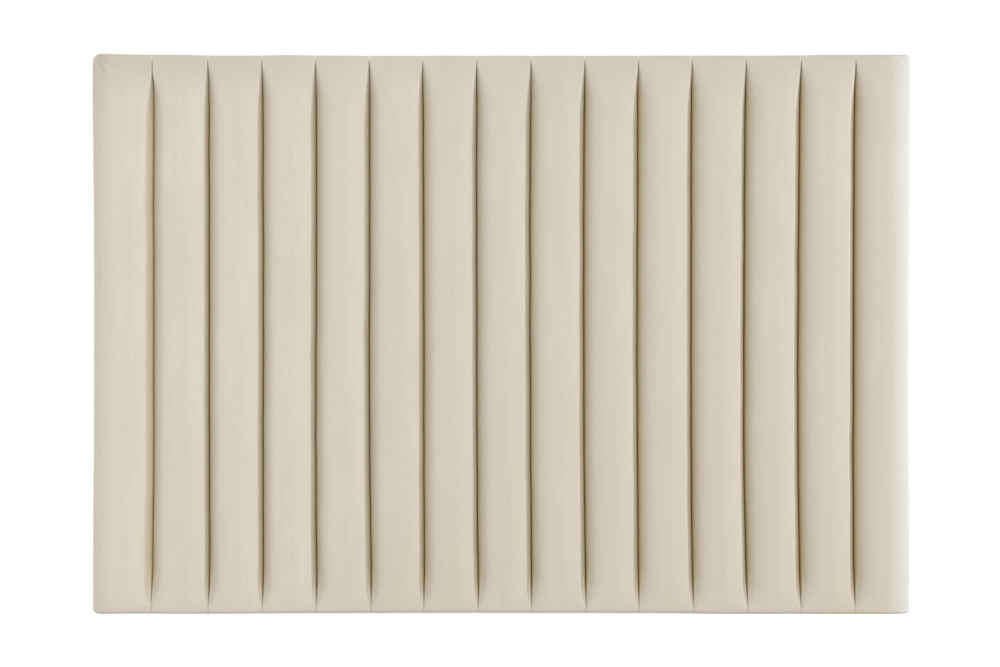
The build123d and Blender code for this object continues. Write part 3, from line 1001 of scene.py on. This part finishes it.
WRAP = path_length([(0, 0), (BACK - FRONT, 0), (BACK - FRONT, TURN_IN_LEVELS[-1])])
for number in range(COUNT):
    cover = CoverStrip(number)
    strip = mesh_object(f"velvet_channel_{number + 1:02d}", cover.points, cover.faces, (0, -1, 0))
    cover.store_marks(strip)
    finer = strip.modifiers.new("finer", "SUBSURF")
    finer.levels = finer.render_levels = 1
    give_thickness(strip, CLOTH)
    dress(strip, "velvet", f"cover_strip_{number + 1:02d}")
    across = path_length(list(zip(*section(number, (TOP + BOTTOM) / 2))))
    across += WRAP + BORDER * MM if number in (0, COUNT - 1) else 0.0

# Dust cover, with openings for the threaded inserts, and its staples
DUST_LOW, DUST_HIGH = (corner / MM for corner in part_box("dust_cover"))
DUST_THICK = 0.2
DUST_COLUMNS, DUST_ROWS = 133, 91
HOLES = [(x, z) for x in (-450.0, 450.0) for z in (230.0, 430.0)]
HOLE_RADIUS = 9.0
HOLE_POINTS = 36
HEM = 14.0
STAPLE_INSET = 9.0
STAPLE_PITCH = 62.0
# Where it steps down from the turned-in velvet, how far it lies below its highest there, and how
# much lower inside and between the members
DUST_STEP, DUST_STEP_OVER = 33.0, 14.0
DUST_PROUD, DUST_SINK, DUST_SAG = 0.35, 0.9, 0.9
# Its long creases and its slanting ones: depth, size and seed
LONG_CREASES, SLANT_CREASES = (0.5, 130.0, 11), (0.22, 34.0, 12)
# How far it is drawn between the staples, from and over what reach, and how thick the hem is
DRAWN, DRAWN_START, DRAWN_FADE = 0.16, 6.0, 50.0
HEM_RISE, HEM_OVER = 0.14, 1.5
# Places of the stiles and rails, over which the cover lies flatter, half of their width, and how
# much flatter it lies, which ends over that distance from them
STILE_PLACES = (-770.0, -450.0, 0.0, 450.0, 770.0)
RAIL_PLACES = (34.0, 560.0, 1070.0)
MEMBER_HALF = 22.0
MEMBER_HOLD, MEMBER_FADE = 0.75, 40.0


def from_edges(x, z):
    return min(x - DUST_LOW.x, DUST_HIGH.x - x), min(z - DUST_LOW.z, DUST_HIGH.z - z)


def off_members(place, members):
    """How freely the cover hangs, from 0.25 on a member of the frame to 1 away from all."""
    held = max(1 - smooth((abs(place - member) - MEMBER_HALF) / MEMBER_FADE) for member in members)
    return 1 - MEMBER_HOLD * held


def dust_y(x, z):
    """The dust cover's face: proud over the turned-in velvet, lower inside, and creased."""
    upright, level = from_edges(x, z)
    reach = min(upright, level)
    inside = smooth((reach - DUST_STEP) / DUST_STEP_OVER)
    slack = off_members(x, STILE_PLACES) * off_members(z, RAIL_PLACES)
    depth, *waves = LONG_CREASES
    creases = depth * inside * uneven(x, z * 0.8, *waves) * slack
    depth, *waves = SLANT_CREASES
    creases += depth * inside * uneven(x * 0.7 + z * 0.7, x * 0.2 - z * 0.2, *waves)
    y = DUST_HIGH.y - DUST_PROUD - DUST_SINK * inside - DUST_SAG * inside * slack + creases
    ripple = math.cos(2 * math.pi * ((x if upright > level else z) - STAPLE_INSET) / STAPLE_PITCH)
    fade = 1 - smooth((reach - DRAWN_START) / DRAWN_FADE)
    y -= DRAWN * (1 - ripple) * fade * smooth(reach / DRAWN_START)
    y += HEM_RISE * (1 - smooth((reach - HEM) / HEM_OVER))
    return min(y, DUST_HIGH.y - DUST_THICK)


def dust_lines(low, high, count):
    """Even places from low to high, with two more at each hem."""
    hems = [HEM - 0.8, HEM + 0.8]
    return sorted(set(np.linspace(low, high, count)) | {low + e for e in hems} | {high - e for e in hems})


def off_holes(x, z):
    return min(math.hypot(x - hole_x, z - hole_z) for hole_x, hole_z in HOLES)


def dust_mesh():
    """A sheet with round openings, as triangles over a grid."""
    flat, edges = [], []
    for hole_x, hole_z in HOLES:
        for radius in (HOLE_RADIUS, HOLE_RADIUS + 2.5):
            start = len(flat)
            for i in range(HOLE_POINTS):
                turn = math.radians(360 / HOLE_POINTS * i)
                flat.append(Vector((hole_x + radius * math.cos(turn), hole_z + radius * math.sin(turn))))
            edges += [(start + i, start + (i + 1) % HOLE_POINTS) for i in range(HOLE_POINTS)]
    for x in dust_lines(DUST_LOW.x, DUST_HIGH.x, DUST_COLUMNS):
        for z in dust_lines(DUST_LOW.z, DUST_HIGH.z, DUST_ROWS):
            if off_holes(x, z) > HOLE_RADIUS + 4:
                flat.append(Vector((x, z)))
    made = geometry.delaunay_2d_cdt(flat, edges, [], 0, 0.001)
    points = [(p.x, dust_y(p.x, p.y), p.y) for p in made[0]]
    faces = []
    for face in made[2]:
        corners = [made[0][i] for i in face]
        reaches = [max(math.hypot(p.x - hx, p.y - hz) for p in corners) for hx, hz in HOLES]
        if min(reaches) > HOLE_RADIUS + 0.5:
            faces.append(tuple(face))
    return points, faces


dust = mesh_object("dust_cloth", *dust_mesh(), (0, 1, 0))
give_thickness(dust, DUST_THICK)
dress(dust, "dust_cloth", "dust_cover")

# A staple's crown: half its length, half its wire's width, and how far it stands out
STAPLE_HALF = 5.4
WIRE_HALF = 0.55
STAPLE_RISE = 0.22
# How far staples are turned off the edge's line, as they are shot by hand
STAPLE_TURN = 0.12
# Its wire's rounded section, and its line from one end inwards: along, and up in shares
WIRE_SECTION = ((-1, -0.5), (-1, 0.6), (-0.5, 1.0), (0.5, 1.0), (1, 0.6), (1, -0.5))
STAPLE_BEND = ((0.0, -0.7), (0.0, -0.1), (0.35, 0.6), (1.0, 1.0))
STAPLE_LINE = [(-STAPLE_HALF + along, up) for along, up in STAPLE_BEND]
STAPLE_LINE += [(STAPLE_HALF - along, up) for along, up in reversed(STAPLE_BEND)]


def staple_places():
    """Places along the dust cover's edges: x, z, and whether the edge is upright."""
    rows = []
    for upright, low, high in ((False, DUST_LOW.xz, DUST_HIGH.xz), (True, DUST_LOW.zx, DUST_HIGH.zx)):
        run = high[0] - low[0] - 2 * STAPLE_INSET
        count = round(run / STAPLE_PITCH)
        for i in range(1, count) if upright else range(count + 1):
            along = low[0] + STAPLE_INSET + run * i / count
            for across in (low[1] + STAPLE_INSET, high[1] - STAPLE_INSET):
                rows.append((across, along, True) if upright else (along, across, False))
    return rows


def staple_mesh():
    """The crowns of all the staples: flat wires with their ends bent in."""
    parts = []
    for number, (x, z, upright) in enumerate(staple_places()):
        turn = math.radians(90 if upright else 0) + STAPLE_TURN * math.sin(number * 2.3)
        cos, sin = math.cos(turn), math.sin(turn)
        y = dust_y(x, z)
        rings = []
        for along, up in STAPLE_LINE:
            ring = []
            for side, lift in WIRE_SECTION:
                across = side * WIRE_HALF
                height = min(y + (up - 0.3) * STAPLE_RISE + lift * STAPLE_RISE * 0.7, DUST_HIGH.y)
                ring.append((x + cos * along - sin * across, height, z + sin * along + cos * across))
            rings.append(ring)
        parts.append(rings)
    return swept(*parts)


dress(mesh_object("dust_cover_staples", *staple_mesh()), "staple_wire")

# Glides, with their ends turned up like a sledge's: their rise at shares of the length, and their
# section in shares of half the width and of the height
GLIDE_LOW, GLIDE_HIGH = (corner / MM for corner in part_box("floor_glides"))
GLIDE_COUNT = 4
GLIDE_WIDTH = 18.0
GLIDE_RISE = (
    (0.0, 1.0), (0.01, 0.62), (0.04, 0.46), (0.1, 0.31), (0.18, 0.17), (0.27, 0.05), (0.36, 0.0), (0.5, 0.0),
)
GLIDE_SECTION = (
    (-1.0, 1.0), (-1.0, 0.34), (-0.93, 0.12), (-0.8, 0.0), (0.8, 0.0), (0.93, 0.12), (1.0, 0.34), (1.0, 1.0),
)
GLIDE_END, GLIDE_NARROW = 0.05, 0.5
GLIDE_SOFT = 0.3
# The pointed prong on each: half its width, its place, and the heights and shares of its section
PRONG = 1.2
PRONG_Y = BOARD + 18.0
PRONG_LEVELS = ((BOTTOM - 0.5, 1.0), (GLIDE_HIGH.z - 5.0, 1.0), (GLIDE_HIGH.z, 0.15))
SQUARE = ((-1, -1), (1, -1), (1, 1), (-1, 1))


def glide_ring(x, share, up):
    """The section of a glide at a share of its length, where it has risen by up."""
    y = GLIDE_LOW.y + (GLIDE_HIGH.y - GLIDE_LOW.y) * share
    narrow = 1 - GLIDE_NARROW * max(1 - min(share, 1 - share) / GLIDE_END, 0.0)
    ring = []
    for across, rise in GLIDE_SECTION:
        ring.append((x + across * narrow * GLIDE_WIDTH / 2, y, BOTTOM * max(up, rise)))
    return ring


def prong_ring(x, z, share):
    return [(x + a * PRONG * share, PRONG_Y + b * PRONG * share, z) for a, b in SQUARE]


def glide_mesh():
    steps = list(GLIDE_RISE) + [(1 - share, up) for share, up in GLIDE_RISE[-2::-1]]
    parts = []
    for i in range(GLIDE_COUNT):
        run = GLIDE_HIGH.x - GLIDE_LOW.x - GLIDE_WIDTH
        x = GLIDE_LOW.x + GLIDE_WIDTH / 2 + run * i / (GLIDE_COUNT - 1)
        parts.append([glide_ring(x, share, up) for share, up in steps])
        parts.append([prong_ring(x, z, share) for z, share in PRONG_LEVELS])
    return swept(*parts)


glides = mesh_object("skid_glides", *glide_mesh())
softened = glides.modifiers.new("softened", "BEVEL")
softened.width = GLIDE_SOFT * MM
softened.segments = 2
softened.limit_method = "ANGLE"
softened.angle_limit = math.radians(35)
dress(glides, "glide_nylon", "floor_glides")

# CAD nodes that keep their shape: the rails and stiles, and these
KEPT = {"front_board": "plywood", "frame_staples": "staple_wire", "threaded_inserts": "zinc_steel"}
for node_name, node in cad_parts.items():
    slot_name = "frame_wood" if node_name.endswith(("_rail", "_stile")) else KEPT.get(node_name)
    if slot_name:
        node.data.materials.clear()
        node.data.materials.append(FINISHES[slot_name])

# Stage, light and camera, all in metres
scene.view_settings.view_transform = "Standard"
WORLD_LIGHT = 0.385
FLOOR_LIFT = 0.8
FLOOR_HALF = 40.0
# Distances between which the floor turns plain white
FLOOR_FADE = (1.3, 2.6)
# Each lamp's name, place, target, size, and power in watts
LAMPS = (
    ("front", (1.3, -8.6, 1.0), (-16.0, 0.0, 0.55), 2.6, 675.0),
    ("side", (2.9, -0.4, 0.75), (0.0, 0.0, 0.55), 0.3, 22.0),
    ("above", (0.0, 0.3, 3.6), (0.0, 0.0, 0.6), 1.6, 20.0),
    ("left", (-4.5, 1.4, 1.1), (-0.8, 0.0, 0.55), 1.5, 40.0),
    ("behind", (-1.5, 4.5, 2.6), (0.0, 0.0, 0.55), 2.5, 150.0),
)
CAMERA_DISTANCE = 5.0
CAMERA_PLACE = (-0.0020, FRONT * MM - CAMERA_DISTANCE, 0.5505)
LENS = 91.94
SENSOR = 36.0


def make_floor():
    """A white floor that keeps the object's shadow near it, and is plain white further away."""
    corners = [(x * FLOOR_HALF, y * FLOOR_HALF, 0) for x, y in SQUARE]
    mesh = bpy.data.meshes.new("floor")
    mesh.from_pydata(corners, [], [(0, 1, 2, 3)])
    nodes = new_material("floor_white")
    seen = nodes.seen_directly()
    grey = (0.8, 0.8, 0.8, 1.0)
    lift = nodes.times(seen, FLOOR_LIFT)
    material = nodes.finish(grey, 0.9, Specular_IOR_Level=0.1, Emission_Color=WHITE, Emission_Strength=lift)
    white = nodes.add("ShaderNodeEmission", Color=WHITE).outputs[0]
    position = nodes.add("ShaderNodeNewGeometry").outputs["Position"]
    distance = nodes.add("ShaderNodeVectorMath", {"operation": "LENGTH"}, _0=position).outputs["Value"]
    share = nodes.times(nodes.between(distance, *FLOOR_FADE), seen)
    mixed = nodes.add("ShaderNodeMixShader", _0=share, _1=nodes.shader.outputs[0], _2=white).outputs[0]
    nodes.give(nodes.tree.nodes["Material Output"], "Surface", mixed)
    mesh.materials.append(material)
    add_object("floor", mesh)


def make_world():
    """White where it is seen, and a plain soft light all round."""
    scene.world = bpy.data.worlds.new("studio")
    nodes = Nodes(scene.world, "Background")
    nodes.give(nodes.shader, "Color", WHITE)
    strength = nodes.between(nodes.seen_directly(), 0.0, 1.0, WORLD_LIGHT, 1.0)
    nodes.give(nodes.shader, "Strength", strength)


def make_lamp(name, place, target, size, power):
    data = bpy.data.lights.new(name, "AREA")
    data.shape = "SQUARE"
    data.size = size
    data.energy = power
    lamp = add_object(name, data)
    lamp.location = place
    lamp.rotation_mode = "QUATERNION"
    lamp.rotation_quaternion = (Vector(target) - Vector(place)).to_track_quat("-Z", "Y")


def make_camera():
    data = bpy.data.cameras.new("camera")
    data.sensor_width = SENSOR
    data.lens = LENS
    camera = add_object("camera", data)
    camera.location = CAMERA_PLACE
    camera.rotation_euler = (math.pi / 2, 0.0, 0.0)
    scene.camera = camera


make_floor()
make_world()
for lamp_row in LAMPS:
    make_lamp(*lamp_row)
make_camera()
